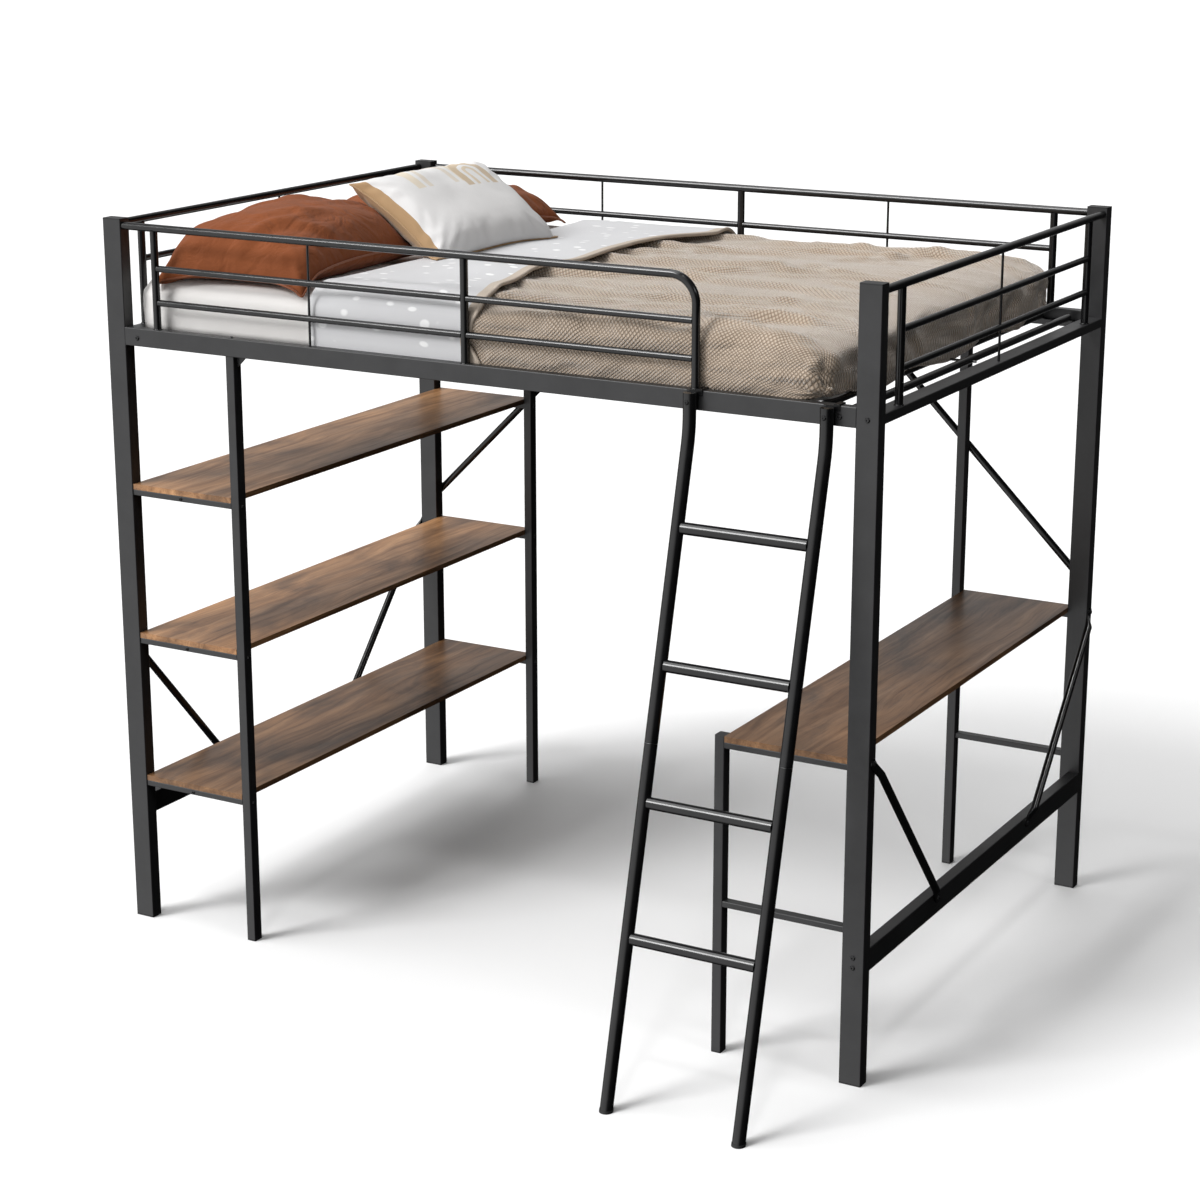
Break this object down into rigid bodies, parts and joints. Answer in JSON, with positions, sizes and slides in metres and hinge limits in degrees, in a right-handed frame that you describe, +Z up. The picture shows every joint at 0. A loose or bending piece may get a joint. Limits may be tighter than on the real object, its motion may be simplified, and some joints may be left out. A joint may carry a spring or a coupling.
{
  "type": "loft bed with desk",
  "caption": "Black metal loft bed with an end desk, a tall end shelf unit, tube guard rails, a hook-on ladder, mattress, comforter and pillows.",
  "frame": {"origin": "on the floor, at the centre of the whole assembly's bounding box", "axes": "+X along the bed from the shelf end to the desk end, +Y from the ladder side to the rear, +Z up"},
  "size_m": [2.115, 1.8426, 1.8987],
  "materials": {
    "black_frame": "satin black powder coat on rectangular steel tube",
    "black_tube": "semi-gloss black powder coat on round steel tube",
    "plastic_cap": "matte black moulded plug",
    "black_bolt": "black zinc-coated steel",
    "bare_steel": "plain drawn tube, hidden inside the ladder rails",
    "rustic_board": "rustic brown wood-grain laminate, satin",
    "white_sheet": "plain woven cotton",
    "taupe_comforter": "taupe cotton with a fine woven texture, dotted pale reverse",
    "rust_pillow": "soft brushed rust-coloured cotton",
    "patterned_pillow": "off-white canvas with plain beige arches, tan reverse"
  },
  "bodies": {
    "frame": {"post_front_left": "black_frame", "post_front_right": "black_frame", "post_rear_left": "black_frame", "post_rear_right": "black_frame", "post_top_caps": "plastic_cap", "foot_caps": "plastic_cap", "side_rail_front": "black_frame", "side_rail_rear": "black_frame", "slat_ledges": "black_tube", "end_rail_left": "black_frame", "end_rail_right": "black_frame", "lower_rail_left": "black_frame", "lower_rail_right": "black_frame", "front_guard_top_tube": "black_tube", "front_guard_uprights": "black_tube", "front_guard_bars": "black_tube", "rear_guard_top_tube": "black_tube", "rear_guard_uprights": "black_tube", "rear_guard_bars": "black_tube", "end_guard_top_tubes": "black_tube", "end_guard_uprights": "black_tube", "end_guard_bars": "black_tube", "guard_rods": "black_tube", "slats": "black_tube", "slat_tie_rod": "black_tube", "shelf_leg_front": "black_frame", "shelf_leg_rear": "black_frame", "desk_leg_front": "black_frame", "desk_leg_rear": "black_frame", "leg_brackets": "black_frame", "shelf_board_lower": "rustic_board", "shelf_board_middle": "rustic_board", "shelf_board_upper": "rustic_board", "desk_board": "rustic_board", "shelf_support_bars": "black_frame", "shelf_stiffeners": "black_frame", "desk_support_bars": "black_frame", "desk_stiffener": "black_frame", "desk_stretchers": "black_frame", "end_braces_left": "black_tube", "end_braces_right": "black_tube", "rear_braces": "black_tube", "frame_bolts": "black_bolt", "brace_bolts": "black_bolt", "leg_bolts": "black_bolt", "board_screws": "black_bolt"},
    "ladder": {"ladder_rail_left_upper": "black_tube", "ladder_rail_right_upper": "black_tube", "ladder_rail_left_lower": "black_tube", "ladder_rail_right_lower": "black_tube", "ladder_rungs": "black_tube", "ladder_joint_sleeves": "bare_steel", "ladder_hooks": "black_tube", "ladder_feet": "plastic_cap", "ladder_bolts": "black_bolt"},
    "mattress": {"mattress": "white_sheet", "comforter": "taupe_comforter"},
    "rust_pillows": {"pillow_rust_front": "rust_pillow", "pillow_rust_rear": "rust_pillow"},
    "patterned_pillow": {"pillow_patterned": "patterned_pillow"}
  },
  "joints": [
    {"name": "ladder_lift", "type": "slide", "parent": "frame", "child": "ladder", "axis": [0, 0, 1], "range_m": [0, 0.12]},
    {"name": "mattress_lift", "type": "slide", "parent": "frame", "child": "mattress", "axis": [0, 0, 1], "range_m": [0, 0.3]},
    {"name": "rust_pillows_lift", "type": "slide", "parent": "mattress", "child": "rust_pillows", "axis": [0, 0, 1], "range_m": [0, 0.2]},
    {"name": "patterned_pillow_lift", "type": "slide", "parent": "rust_pillows", "child": "patterned_pillow", "axis": [0, 0, 1], "range_m": [0, 0.2]}
  ]
}
